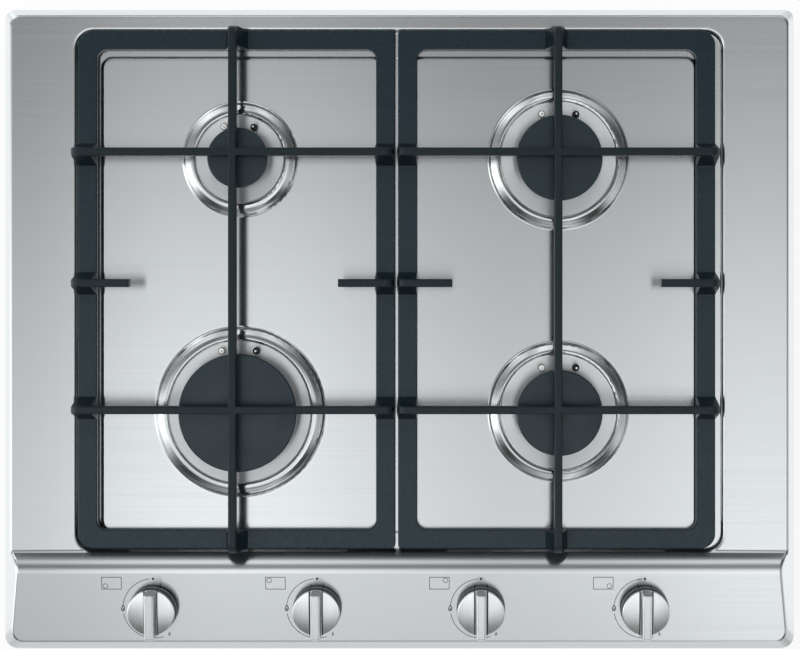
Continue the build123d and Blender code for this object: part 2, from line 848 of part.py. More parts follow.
def support_bar(start, heading, length, far_leg=True):
    """Bar of a pan support, with a flared leg wherever it meets the frame."""
    along = Vector(*heading)
    origin = Vector(*start)
    side_on = Plane(origin=origin, x_dir=along, z_dir=along.cross(Vector(0, 0, 1)))
    with BuildPart() as bar:
        extrude(side_on * bar_outline(length, far_leg), amount=bar_width / 2, both=True)
        fillet(bar.faces().sort_by(Axis.Z)[-1].edges().filter_by(Axis(origin, along)), bar_edge)
        for leg_start in [0, length - frame_member] if far_leg else [0]:
            across = Plane(origin=origin + along * leg_start, x_dir=Vector(0, 0, 1).cross(along), z_dir=along)
            with BuildSketch(across) as leg:
                with BuildLine():
                    Polyline(
                        (-leg_foot_width / 2, leg_start_z),
                        (-leg_foot_width / 2, frame_top_z),
                        (-bar_width / 2, bar_under_z),
                        (bar_width / 2, bar_under_z),
                        (leg_foot_width / 2, frame_top_z),
                        (leg_foot_width / 2, leg_start_z),
                        close=True,
                    )
                make_face()
            extrude(leg.sketch, amount=frame_member)
    return bar.part


def support_x(side, reach):
    """Place of a line of the supports, at the given reach from the line between them."""
    return support_shift + side * reach


def foot_places(side):
    """Middles of the four feet of the frame on one side."""
    xs = [support_x(side, reach) for reach in (support_outer_x - foot_inset, support_inner_x + foot_inset)]
    ys = (support_front_y + foot_setback, support_back_y - foot_setback)
    return [(x, y) for x in xs for y in ys]


def make_pan_support(side, name):
    """Cast frame with a long bar over both burners, two cross bars and two short fingers."""
    with BuildPart() as pan_support:
        with BuildSketch(Plane.XY.offset(frame_bottom_z)) as outline:
            with Locations((support_x(side, support_mid_x), support_mid_y)):
                Rectangle(support_width, support_depth)
            corners = ((support_outer_x, frame_outer_corner), (support_inner_x, frame_middle_corner))
            for reach, radius in corners:
                for corner_y in (support_front_y, support_back_y):
                    place = (support_x(side, reach), corner_y)
                    fillet(outline.vertices().sort_by_distance(place)[0], radius)
            with Locations((support_x(side, support_mid_x), support_mid_y)):
                RectangleRounded(
                    support_width - 2 * frame_member,
                    support_depth - 2 * frame_member,
                    frame_opening_corner,
                    mode=Mode.SUBTRACT,
                )
        extrude(outline.sketch, amount=frame_height)
        fillet(pan_support.faces().sort_by(Axis.Z)[-1].edges(), frame_edge)
        add(support_bar((support_x(side, burner_pitch / 2), support_front_y), (0, 1), support_depth))
        outer_x = support_x(side, support_outer_x)
        for row_y in (front_row_y, back_row_y):
            add(support_bar((outer_x, row_y + bar_row_offset), (-side, 0), support_width))
        add(support_bar((outer_x, finger_y), (-side, 0), outer_finger_reach, far_leg=False))
        inner_x = support_x(side, support_inner_x)
        add(support_bar((inner_x, finger_y), (side, 0), inner_finger_reach, far_leg=False))
        with BuildSketch(Plane.XY.offset(ledge_z + foot_lug_clearance)) as lugs:
            for x, y in foot_places(side):
                outward = 1 if x > support_x(side, support_mid_x) else -1
                for length, direction in ((foot_lug_outer, outward), (foot_lug_inner, -outward)):
                    with Locations((x + direction * (foot_pad_width + length) / 2, y)):
                        Rectangle(length, foot_pad_depth)
        extrude(lugs.sketch, amount=frame_lift - foot_lug_clearance)
    save(pan_support, f"pan_support_{name}")


def make_support_feet(side, name):
    """Rubber pads between the lugs, standing on the well's ledge."""
    with BuildPart() as support_feet:
        with BuildSketch(Plane.XY.offset(ledge_z)):
            with Locations(*foot_places(side)):
                Rectangle(foot_pad_width, foot_pad_depth)
        extrude(amount=frame_lift)
    save(support_feet, f"support_feet_{name}")


# ---------------------------------------------------------------- knobs and taps
def spindle_section(frame, height, gap):
    """Round section with a flat, on the frame at the given height."""
    with BuildSketch(level(frame, height)) as section:
        Circle(spindle_radius + gap)
        with Locations((0, spindle_flat + gap + spindle_radius)):
            Rectangle(4 * spindle_radius, 2 * spindle_radius, mode=Mode.SUBTRACT)
    return section.sketch


def make_knob(burner):
    """Hollow knob with a domed disc and a tall grip bar across it."""
    frame = panel_frame(burner.knob_x)
    skirt_top = knob_gap + knob_skirt
    with BuildPart() as knob:
        with BuildSketch(meridian(frame)) as disc:
            with BuildLine():
                Polyline(
                    (0, skirt_top + knob_dome),
                    (0, knob_gap),
                    (knob_radius, knob_gap),
                    (knob_top_radius, skirt_top),
                )
                ThreePointArc(
                    (knob_top_radius, skirt_top),
                    (knob_top_radius / 2, skirt_top + knob_dome * 3 / 4),
                    (0, skirt_top + knob_dome),
                )
            make_face()
            fillet(disc.vertices().sort_by_distance((knob_top_radius, skirt_top))[0], knob_edge)
        revolve(disc.sketch, axis=Axis(frame.origin, frame.z_dir))
        with BuildSketch(level(frame, grip_slot_floor)) as slot:
            Rectangle(grip_slot, 2 * knob_radius)
        extrude(slot.sketch, amount=grip_height - grip_slot_floor, mode=Mode.SUBTRACT)
        with BuildSketch(level(frame, knob_gap)) as grip:
            with Locations((0, (grip_back - grip_front) / 2)):
                Rectangle(grip_width, grip_back + grip_front)
            fillet(grip.vertices(), grip_corner)
        bar = extrude(grip.sketch, amount=grip_height - knob_gap, taper=grip_taper, mode=Mode.PRIVATE)
        add(bar.fillet(grip_edge, bar.faces().sort_by(Axis.Z)[-1].edges()))
        turned(
            frame,
            [
                (0, knob_gap),
                (knob_radius - knob_wall, knob_gap),
                (knob_top_radius - knob_wall, skirt_top - knob_wall),
                (knob_hub_radius, skirt_top - knob_wall),
                (knob_hub_radius, knob_hub_start),
                (0, knob_hub_start),
            ],
            Mode.SUBTRACT,
        )
        bore = spindle_section(frame, knob_hub_start, fit_gap)
        extrude(bore, amount=spindle_top + fit_gap - knob_hub_start, mode=Mode.SUBTRACT)
    save(knob, f"knob_{burner.name}")


def make_spindle(burner):
    """Tap shaft with a retaining flange below and a flat at the top for the knob."""
    frame = panel_frame(burner.knob_x)
    with BuildPart() as spindle:
        post(level(frame, -spindle_foot), spindle_radius, spindle_foot + knob_hub_start)
        post(level(frame, -spindle_foot), spindle_flange_radius, spindle_flange)
        extrude(spindle_section(frame, knob_hub_start, 0), amount=spindle_top - knob_hub_start)
    save(spindle, f"tap_spindle_{burner.name}")


plunger_bottom = -spindle_foot - plunger_height


def make_plunger(burner):
    """Piston under the spindle, which opens the safety valve when the knob is pushed."""
    frame = panel_frame(burner.knob_x)
    with BuildPart() as plunger:
        post(level(frame, plunger_bottom), plunger_radius, plunger_height)
        post(level(frame, plunger_bottom), plunger_rod_radius, -plunger_rod)
    save(plunger, f"tap_plunger_{burner.name}")


def strap_section(x):
    """Outline of a saddle or strap round the gas rail, in the plane of the rail's axis."""
    with BuildSketch(facing_back(x, rail_y, rail_level)) as section:
        with Locations((0, (saddle_drop - saddle_rise) / 2)):
            Rectangle(saddle_width, saddle_rise + saddle_drop)
        with Locations((0, -strap_screw_height)):
            Circle(strap_screw_radius + fit_gap, mode=Mode.SUBTRACT)
    return section.sketch


def cut_rail_bore():
    """Clear the gas rail's path through the part being built."""
    with BuildSketch(Plane.YZ) as bore:
        with Locations((rail_y, rail_level)):
            Circle(rail_radius + running_gap)
    extrude(bore.sketch, amount=plate_width / 2, both=True, mode=Mode.SUBTRACT)


def make_tap_body(burner):
    """Brass tap under the panel: threaded nose, body, outlet boss and the half saddle on the gas rail."""
    frame = panel_frame(burner.knob_x)
    body_top = -plate_thickness - tap_collar
    cavity_top = spindle_flange - spindle_foot + fit_gap
    cavity_bottom = plunger_bottom - push_travel - fit_gap
    rod_bottom = plunger_bottom - plunger_rod - push_travel - fit_gap
    with BuildPart() as tap_body:
        post(level(frame, -plate_thickness), nose_radius, nose_top + plate_thickness)
        post(level(frame, -plate_thickness), tap_collar_radius, -tap_collar)
        with BuildSketch(level(frame, body_top)) as block:
            RectangleRounded(tap_width, tap_depth, tap_corner)
        extrude(block.sketch, amount=-tap_length)
        post(level(frame, body_top - tap_length), tap_stem_radius, -tap_stem)
        extrude(strap_section(burner.knob_x), amount=-strap_depth)
        with BuildSketch(facing_back(burner.knob_x, rail_y - strap_depth, rail_level)) as neck:
            with Locations((0, (saddle_drop - saddle_rise) / 2)):
                Rectangle(saddle_width, saddle_rise + saddle_drop)
        extrude(neck.sketch, amount=-tap_depth / 4)
        outlet = facing_back(burner.knob_x, knob_y + outlet_reach, pipe_level)
        post(outlet, outlet_radius, tap_stem_radius - outlet_reach)
        cut_rail_bore()
        turned(
            frame,
            [
                (0, nose_top),
                (spindle_radius + running_gap, nose_top),
                (spindle_radius + running_gap, cavity_top),
                (plunger_radius + running_gap, cavity_top),
                (plunger_radius + running_gap, cavity_bottom),
                (plunger_rod_radius + running_gap, cavity_bottom),
                (plunger_rod_radius + running_gap, rod_bottom),
                (0, rod_bottom),
            ],
            Mode.SUBTRACT,
        )
    save(tap_body, f"tap_body_{burner.name}")


def make_tap_nuts():
    with BuildPart() as tap_nuts:
        for burner in burners:
            frame = panel_frame(burner.knob_x)
            hex_post(frame, tap_nut_flats, tap_nut_height)
            post(frame, nose_radius + fit_gap, tap_nut_height, Mode.SUBTRACT)
    save(tap_nuts, "tap_nuts")


# ---------------------------------------------------------------- gas supply
wall_inside_y = box_back_y - box_sheet
inlet_tail_y = wall_inside_y - inlet_hex - inlet_neck
rail_left_x = burners[0].knob_x - rail_left_end


def make_gas_rail():
    """Manifold tube along the taps, bent back to the inlet and closed at its left end."""
    with BuildPart() as gas_rail:
        start = (rail_left_x, rail_y, rail_level)
        corner = (rail_right_x, rail_y, rail_level)
        end = (rail_right_x, inlet_tail_y, rail_level)
        tube_along([start, corner, end], rail_radius, rail_bend, rail_radius - rail_wall)
        post(Plane(origin=start, z_dir=(1, 0, 0)), rail_radius, rail_wall)
    save(gas_rail, "gas_rail")


def make_rail_clamps():
    """Half straps that hold the taps to the rail."""
    with BuildPart() as rail_clamps:
        for burner in burners:
            extrude(strap_section(burner.knob_x), amount=strap_depth)
        cut_rail_bore()
    save(rail_clamps, "rail_clamps")


def make_rail_screws():
    with BuildPart() as rail_screws:
        for burner in burners:
            seat = facing_back(burner.knob_x, rail_y + strap_depth, rail_level + strap_screw_height)
            post(seat, strap_screw_radius, -2 * strap_depth)
            post(seat, strap_screw_head_radius, strap_screw_head)
    save(rail_screws, "rail_screws")


def pipe_ends(burner):
    """Where a burner's pipe leaves its tap and where it enters its cup."""
    end_y = burner.y - cup_radius(burner) - inlet_boss_reach
    return (burner.knob_x, knob_y + outlet_reach, pipe_level), (burner.x, end_y, pipe_level)


def make_burner_pipes():
    with BuildPart() as burner_pipes:
        for burner in burners:
            start, end = pipe_ends(burner)
            turn_y = end[1] - union_length - 2 * pipe_bend
            first_turn = (start[0], turn_y - abs(end[0] - start[0]) / 2, pipe_level)
            last_turn = (end[0], turn_y, pipe_level)
            tube_along([start, first_turn, last_turn, end], pipe_radius, pipe_bend)
    save(burner_pipes, "burner_pipes")


def make_pipe_nuts():
    with BuildPart() as pipe_nuts:
        for burner in burners:
            start, end = pipe_ends(burner)
            for place, length in ((start, union_length), (end, -union_length)):
                hex_post(facing_back(*place), union_flats, length)
                post(facing_back(*place), pipe_radius + fit_gap, length, Mode.SUBTRACT)
    save(pipe_nuts, "pipe_nuts")


def make_gas_inlet():
    """Threaded connection through the back wall, with a hexagon inside the box."""
    with BuildPart() as gas_inlet:
        hex_post(facing_back(rail_right_x, wall_inside_y, rail_level), inlet_hex_flats, -inlet_hex)
        relief_start = facing_back(rail_right_x, wall_inside_y, rail_level)
        post(relief_start, inlet_relief_radius, box_sheet + inlet_relief)
        thread = facing_back(rail_right_x, box_back_y + inlet_relief, rail_level)
        post(thread, inlet_thread_radius, inlet_thread_length)
        tail = facing_back(rail_right_x, inlet_tail_y, rail_level)
        post(tail, inlet_neck_radius, inlet_neck)
        post(tail, inlet_bore_radius, plate_depth, Mode.SUBTRACT)
    save(gas_inlet, "gas_inlet")


# ---------------------------------------------------------------- ignition and mains
def make_ignition_switches():
    """Small switches clipped to the taps' flat sides."""
    with BuildPart() as ignition_switches:
        for burner in burners:
            top = level(panel_frame(burner.knob_x), -(plate_thickness + tap_collar + switch_start))
            with BuildSketch(top) as case:
                with Locations((-(tap_width + switch_width) / 2, 0)):
                    Rectangle(switch_width, switch_depth)
            extrude(case.sketch, amount=-switch_length)
    save(ignition_switches, "ignition_switches")


def make_ignition_generator():
    """Spark unit on the box's floor, with four high-voltage terminals and two screw ears."""
    with BuildPart() as ignition_generator:
        with BuildSketch(Plane.XY.offset(box_sheet)) as case:
            with Locations((generator_x, generator_y)):
                Rectangle(generator_width, generator_depth)
        extrude(case.sketch, amount=generator_height)
        fillet(ignition_generator.edges().filter_by(Axis.Z), generator_edge)
        fillet(ignition_generator.faces().sort_by(Axis.Z)[-1].edges(), generator_edge / 2)
        with BuildSketch(Plane.XY.offset(box_sheet)) as ears:
            with Locations((generator_x, generator_y)):
                SlotOverall(generator_depth + 2 * generator_ear, 2 * generator_ear, rotation=90)
                with GridLocations(0, generator_depth + generator_ear, 1, 2):
                    Circle(clamp_hole_radius, mode=Mode.SUBTRACT)
        extrude(ears.sketch, amount=generator_ear_thickness)
        for row in range(len(burners)):
            y = generator_y + (row - (len(burners) - 1) / 2) * terminal_pitch
            spot = (generator_x + generator_width / 2, y, box_sheet + generator_height / 2)
            post(Plane(origin=spot, z_dir=(1, 0, 0)), terminal_radius, terminal_length)
    save(ignition_generator, "ignition_generator")


def make_terminal_block():
    y = wall_inside_y - terminal_wall_gap - block_depth / 2
    with BuildPart() as terminal_block:
        with BuildSketch(Plane.XY.offset(box_sheet)) as case:
            with Locations((gland_x, y)):
                Rectangle(block_width, block_depth)
        extrude(case.sketch, amount=block_height)
        with BuildSketch(Plane.XY.offset(box_sheet + block_height)) as wells:
            with Locations((gland_x, y)):
                with GridLocations(terminal_pitch, 0, 4, 1):
                    Circle(terminal_radius)
        extrude(wells.sketch, amount=-terminal_radius, mode=Mode.SUBTRACT)
    save(terminal_block, "terminal_block")


def make_cable_gland():
    """Grommet in the back wall where the mains lead would enter."""
    with BuildPart() as cable_gland:
        turned(
            facing_back(gland_x, box_back_y, gland_level),
            [
                (gland_bore_radius, -box_sheet - gland_tail),
                (gland_radius, -box_sheet - gland_tail),
                (gland_radius, 0),
                (gland_head_radius, 0),
                (gland_head_radius - gland_head_taper, gland_head),
                (gland_bore_radius, gland_head),
            ],
        )
    save(cable_gland, "cable_gland")


make_hob_plate()
make_burner_box()
make_box_nuts()
make_sealing_strip()
for burner in burners:
    make_cap(burner)
    make_crown(burner)
    make_cup(burner)
    make_electrode(burner)
    make_thermocouple(burner)
    make_knob(burner)
    make_spindle(burner)
    make_plunger(burner)
    make_tap_body(burner)
make_cup_screws()
make_injectors()
make_ignition_pins()
for side, name in ((-1, "left"), (1, "right")):
    make_pan_support(side, name)
    make_support_feet(side, name)
make_tap_nuts()
make_gas_rail()
make_rail_clamps()
make_rail_screws()
make_burner_pipes()
make_pipe_nuts()
make_gas_inlet()
make_ignition_switches()
make_ignition_generator()
make_terminal_block()
make_cable_gland()
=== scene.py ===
from math import atan2, cos, hypot, pi, radians, sin, tan

import bmesh
import bpy
from mathutils import Matrix, Vector


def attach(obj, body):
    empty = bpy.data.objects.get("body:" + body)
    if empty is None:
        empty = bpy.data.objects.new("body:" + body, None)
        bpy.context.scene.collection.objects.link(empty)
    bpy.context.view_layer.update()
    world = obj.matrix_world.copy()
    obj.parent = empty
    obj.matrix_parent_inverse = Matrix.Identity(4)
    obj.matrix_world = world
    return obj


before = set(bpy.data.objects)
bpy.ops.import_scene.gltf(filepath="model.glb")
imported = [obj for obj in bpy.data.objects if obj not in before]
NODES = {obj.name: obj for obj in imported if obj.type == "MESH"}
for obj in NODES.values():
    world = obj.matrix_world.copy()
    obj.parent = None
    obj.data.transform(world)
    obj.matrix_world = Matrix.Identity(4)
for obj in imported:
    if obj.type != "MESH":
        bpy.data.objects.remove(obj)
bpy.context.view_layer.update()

scene = bpy.context.scene

# ---------------------------------------------------------------- places on the hob, in metres
BURNERS = ("left_front", "left_back", "right_back", "right_front")
BURNER_X = 0.1305
FRONT_BURNER_Y = -0.0676
BACK_BURNER_Y = 0.1393
BURNER_AT = {
    "left_front": (-BURNER_X, FRONT_BURNER_Y),
    "left_back": (-BURNER_X, BACK_BURNER_Y),
    "right_back": (BURNER_X, BACK_BURNER_Y),
    "right_front": (BURNER_X, FRONT_BURNER_Y),
}
RING_RADIUS = {  # outside of the raised ring round each burner
    "left_front": 0.0697,
    "left_back": 0.0472,
    "right_back": 0.0577,
    "right_front": 0.0577,
}
RING_CREST = 0.0067  # this and the next two are measured inwards from the ring's outside
SEAT_EDGE = 0.011
SEAT_MIDDLE = 0.026

BARS_FROM_Z = 0.064  # the legs of the pan supports turn into bars between these two heights
BARS_FULL_Z = 0.08
CROWN_SLOT_Z = 0.0585
CROWN_TOP_Z = 0.068

RIDGE_Y = -0.1916
RIDGE_Z = 0.062
PANEL_TILT = radians(7.35)
KNOB_Y = -0.2283
KNOB_PITCH = 0.1338
KNOB_X = {name: (place - 1.5) * KNOB_PITCH for place, name in enumerate(BURNERS)}
PANEL_Z = RIDGE_Z - (RIDGE_Y - KNOB_Y) * tan(PANEL_TILT)  # height of the panel under the knobs
KNOB_SKIRT = 0.0124  # height of the part below each knob's disc that is painted dark as shade
GRIP_HALF = 0.0045
SEAM_OUTSIDE = 0.0058

INLET_X = 0.245
INLET_Z = 0.0285
THREAD_START_Y = 0.2424
THREAD_PITCH = 0.001814

# ---------------------------------------------------------------- directions of grain
GRAIN_LAYER = "grain"
PLATE_LEAN = 0.3  # share of height that is added, so that upright walls have a grain too
CROWN_LEAN = 0.4
CROWN_TURN = 0.02  # along the grain, for each radian round the crown


def lay_grain(node, place):
    """UV layer whose first coordinate runs across the grain; place gives both for a vertex."""
    mesh = NODES[node].data
    layer = mesh.uv_layers.new(name=GRAIN_LAYER)
    for polygon in mesh.polygons:
        for index in polygon.loop_indices:
            co = mesh.vertices[mesh.loops[index].vertex_index].co
            layer.data[index].uv = place(co, polygon.center)


def brushed_along_x(co, centre):
    return co.y + PLATE_LEAN * co.z, co.x + PLATE_LEAN * co.z


def brushed_along_y(co, centre):
    return co.x, co.y


def spun_round(x0, y0):
    def place(co, centre):
        middle = atan2(centre.y - y0, centre.x - x0)
        turn = (atan2(co.y - y0, co.x - x0) - middle + pi) % (2 * pi) - pi
        return hypot(co.x - x0, co.y - y0) + CROWN_LEAN * co.z, (middle + turn) * CROWN_TURN
    return place


lay_grain("hob_plate", brushed_along_x)
for name in BURNERS:
    lay_grain(f"burner_crown_{name}", spun_round(*BURNER_AT[name]))
    lay_grain(f"knob_{name}", brushed_along_y)


# ---------------------------------------------------------------- node trees
class NodeTree:
    """Short ways to add nodes and to feed them with sockets or plain values."""

    def __init__(self, tree):
        self.tree = tree

    def add(self, kind, **settings):
        item = self.tree.nodes.new(kind)
        for key, value in settings.items():
            setattr(item, key, value)
        return item

    def feed(self, socket, value):
        if isinstance(value, bpy.types.NodeSocket):
            self.tree.links.new(value, socket)
        else:
            socket.default_value = value

    def math(self, operation, *values):
        item = self.add("ShaderNodeMath", operation=operation)
        for socket, value in zip(item.inputs, values):
            self.feed(socket, value)
        return item.outputs[0]

    def spread(self, value, low, high, to_low=0.0, to_high=1.0, smooth=False):
        kind = "SMOOTHSTEP" if smooth else "LINEAR"
        item = self.add("ShaderNodeMapRange", interpolation_type=kind)
        self.feed(item.inputs["Value"], value)
        item.inputs["From Min"].default_value = low
        item.inputs["From Max"].default_value = high
        item.inputs["To Min"].default_value = to_low
        item.inputs["To Max"].default_value = to_high
        return item.outputs[0]

    def blend(self, share, a, b):
        """The number a where the share is 0, b where it is 1."""
        return self.math("ADD", a, self.math("MULTIPLY", self.math("SUBTRACT", b, a), share))


class Shader(NodeTree):
    """A material with textures, ramps and bumps in object space."""

    # The mix node has a set of sockets for each type of value; these are the colour ones.
    MIX_FACTOR, MIX_A, MIX_B, MIX_RESULT = 0, 6, 7, 2
    # Noise seldom leaves this range.
    NOISE_LOW, NOISE_HIGH = 0.3, 0.7

    def __init__(self, name, **sockets):
        self.material = bpy.data.materials.new(name)
        self.material.use_nodes = True
        super().__init__(self.material.node_tree)
        self.bsdf = self.tree.nodes["Principled BSDF"]
        self.position = self.add("ShaderNodeTexCoord").outputs["Object"]
        self.normal = None
        for key, value in sockets.items():
            socket = key.replace("_", " ").title().replace("Ior", "IOR")
            self.bsdf.inputs[socket].default_value = value

    def axis(self, name):
        split = self.add("ShaderNodeSeparateXYZ")
        self.feed(split.inputs[0], self.position)
        return split.outputs[name]

    def from_axes(self, places):
        """Distance to the nearest of several upright axes (x, y, radius), less its radius."""
        flat = self.add("ShaderNodeVectorMath", operation="MULTIPLY")
        self.feed(flat.inputs[0], self.position)
        flat.inputs[1].default_value = (1, 1, 0)
        near = None
        for x, y, radius in places:
            gap = self.add("ShaderNodeVectorMath", operation="DISTANCE")
            self.feed(gap.inputs[0], flat.outputs[0])
            gap.inputs[1].default_value = (x, y, 0)
            outside = self.math("SUBTRACT", gap.outputs["Value"], radius)
            near = outside if near is None else self.math("MINIMUM", near, outside)
        return near

    def scaled(self, scale, offset=(0, 0, 0)):
        """Position with so many units to the metre: one number, or one for each axis."""
        mapping = self.add("ShaderNodeMapping")
        self.feed(mapping.inputs["Vector"], self.position)
        mapping.inputs["Scale"].default_value = scale if isinstance(scale, tuple) else [scale] * 3
        mapping.inputs["Location"].default_value = offset
        return mapping.outputs[0]

    def noise(self, scale, detail, roughness, offset=(0, 0, 0)):
        item = self.add("ShaderNodeTexNoise")
        self.feed(item.inputs["Vector"], self.scaled(scale, offset))
        item.inputs["Scale"].default_value = 1.0
        item.inputs["Detail"].default_value = detail
        item.inputs["Roughness"].default_value = roughness
        return item.outputs["Fac"]

    def cells(self, scale):
        item = self.add("ShaderNodeTexVoronoi")
        self.feed(item.inputs["Vector"], self.scaled(scale))
        item.inputs["Scale"].default_value = 1.0
        return item.outputs["Color"]

    def vary(self, noise, to_low=0.0, to_high=1.0):
        return self.spread(noise, self.NOISE_LOW, self.NOISE_HIGH, to_low, to_high)

    def mix(self, factor, a, b):
        item = self.add("ShaderNodeMix", data_type="RGBA")
        self.feed(item.inputs[self.MIX_FACTOR], factor)
        for slot, value in ((self.MIX_A, a), (self.MIX_B, b)):
            self.feed(item.inputs[slot], (*value, 1.0) if isinstance(value, tuple) else value)
        return item.outputs[self.MIX_RESULT]

    def colour(self, value):
        self.feed(self.bsdf.inputs["Base Color"], value)

    def rough(self, value):
        self.feed(self.bsdf.inputs["Roughness"], value)

    def bump(self, height, distance):
        item = self.add("ShaderNodeBump")
        item.inputs["Strength"].default_value = 1.0
        item.inputs["Distance"].default_value = distance
        self.feed(item.inputs["Height"], height)
        if self.normal is not None:
            self.feed(item.inputs["Normal"], self.normal)
        self.normal = item.outputs[0]
        self.feed(self.bsdf.inputs["Normal"], self.normal)

    def soften(self, radius):
        """Let light catch sharp edges as if they were rounded; comes before any bump."""
        item = self.add("ShaderNodeBevel", samples=6)
        item.inputs["Radius"].default_value = radius
        self.normal = item.outputs[0]

    def follow_grain(self):
        """Stretch the gloss by the direction that lay_grain gave the mesh."""
        tangent = self.add("ShaderNodeTangent", direction_type="UV_MAP", uv_map=GRAIN_LAYER)
        self.feed(self.bsdf.inputs["Tangent"], tangent.outputs[0])


def dress(shader, *names):
    """Give the shader's material to CAD nodes."""
    for name in names:
        slots = NODES[name].data.materials
        slots.clear()
        slots.append(shader.material)


def every(prefix):
    return [f"{prefix}_{name}" for name in BURNERS]


# ---------------------------------------------------------------- materials
def brushed_plate():
    """Stainless sheet brushed along X; the burner rings are glossier, the seats in them duller."""
    s = Shader("brushed_stainless", metallic=1.0, anisotropic=0.86)
    fine = s.noise((14.0, 2600.0, 400.0), 2.0, 0.6)
    coarse = s.noise((4.0, 560.0, 120.0), 3.0, 0.6, (3.1, 0.7, 0.0))
    cloud = s.noise(7.0, 2.0, 0.5)
    near = s.from_axes([(*BURNER_AT[name], RING_RADIUS[name]) for name in BURNERS])
    ring = s.spread(near, 0.004, -0.002, smooth=True)
    seat = s.spread(near, 0.0005 - SEAT_EDGE, -0.0005 - SEAT_EDGE, smooth=True)

    tone = s.math("ADD", s.vary(fine, -0.05, 0.05), s.vary(coarse, -0.05, 0.05))
    tone = s.math("ADD", tone, s.vary(cloud, 0.4, 0.6))
    sheet = s.mix(tone, (0.572, 0.603, 0.62), (0.625, 0.65, 0.66))
    s.colour(s.mix(seat, sheet, (0.72, 0.755, 0.77)))
    gloss = s.math("ADD", s.spread(ring, 0.0, 1.0, 0.2, 0.15), s.vary(coarse, -0.015, 0.015))
    s.rough(s.math("ADD", gloss, s.math("MULTIPLY", seat, 0.2)))

    rise = s.spread(near, -0.004 - RING_CREST, -RING_CREST, smooth=True)
    fall = s.spread(near, -RING_CREST, 0.004 - RING_CREST, 1.0, 0.0, smooth=True)
    s.bump(s.math("MULTIPLY", rise, fall), 0.00045)
    s.bump(s.spread(near, -SEAT_MIDDLE, 0.0002 - SEAT_EDGE), 0.001)
    s.bump(s.math("MULTIPLY", fine, s.math("SUBTRACT", 1.0, ring)), 0.000004)
    s.bump(coarse, 0.000004)
    s.follow_grain()
    return s


def enamelled_iron():
    """Cast iron in dark enamel, duller on the bars, where pans rub it; the bars' darker colour is
    painted shade.
    """
    s = Shader("enamelled_iron", specular_ior_level=0.42, specular_tint=(0.84, 0.95, 1.0, 1.0))
    s.soften(0.0008)
    speck = s.spread(s.noise(1500.0, 2.0, 0.5), 0.35, 0.75)
    skin = s.noise(420.0, 3.0, 0.5)
    cast = s.noise(60.0, 3.0, 0.5)
    on_bars = s.spread(s.axis("Z"), BARS_FROM_Z, BARS_FULL_Z, smooth=True)
    # Painted shade: above BARS_FROM_Z the enamel colour turns darker, standing in for the shade on
    # the bars' tops.
    frame_enamel = s.mix(speck, (0.003, 0.011, 0.016), (0.005, 0.014, 0.02))
    bars_painted_shade = s.mix(speck, (0.001, 0.004, 0.006), (0.003, 0.008, 0.012))
    s.colour(s.mix(on_bars, frame_enamel, bars_painted_shade))
    s.rough(s.math("ADD", s.vary(skin, 0.24, 0.38), s.math("MULTIPLY", on_bars, 0.1)))
    s.bump(skin, 0.00005)
    s.bump(cast, 0.0002)
    return s


def enamelled_cap():
    """Satin enamel with fine specks."""
    s = Shader("enamelled_cap", specular_ior_level=0.55, specular_tint=(0.86, 0.95, 1.0, 1.0))
    speck = s.noise(2200.0, 2.0, 0.6)
    cloud = s.noise(45.0, 2.0, 0.5)
    s.colour(s.mix(s.spread(speck, 0.35, 0.7), (0.002, 0.008, 0.012), (0.006, 0.015, 0.02)))
    s.rough(s.vary(cloud, 0.3, 0.42))
    s.bump(speck, 0.00003)
    return s


def die_cast_alloy():
    s = Shader("die_cast_alloy", metallic=1.0)
    grain = s.noise(900.0, 3.0, 0.6)
    stain = s.noise(70.0, 3.0, 0.6)
    s.colour(s.mix(s.vary(stain), (0.432, 0.4356, 0.4392), (0.6, 0.605, 0.61)))
    s.rough(s.vary(grain, 0.37, 0.55))
    s.bump(grain, 0.00005)
    return s


def spun_crown():
    """Machined alloy with heat tint towards the flame ports."""
    s = Shader("spun_alloy", metallic=1.0, anisotropic=0.6)
    ring = s.noise((300.0, 300.0, 2400.0), 2.0, 0.5)
    stain = s.noise(120.0, 3.0, 0.6)
    hot = s.spread(s.axis("Z"), CROWN_SLOT_Z, CROWN_TOP_Z)
    tint = s.math("MULTIPLY", hot, s.vary(stain, 0.5, 1.0))
    s.colour(s.mix(tint, (0.62, 0.62, 0.61), (0.30, 0.285, 0.27)))
    s.rough(s.vary(ring, 0.28, 0.4))
    s.bump(ring, 0.00002)
    s.follow_grain()
    return s


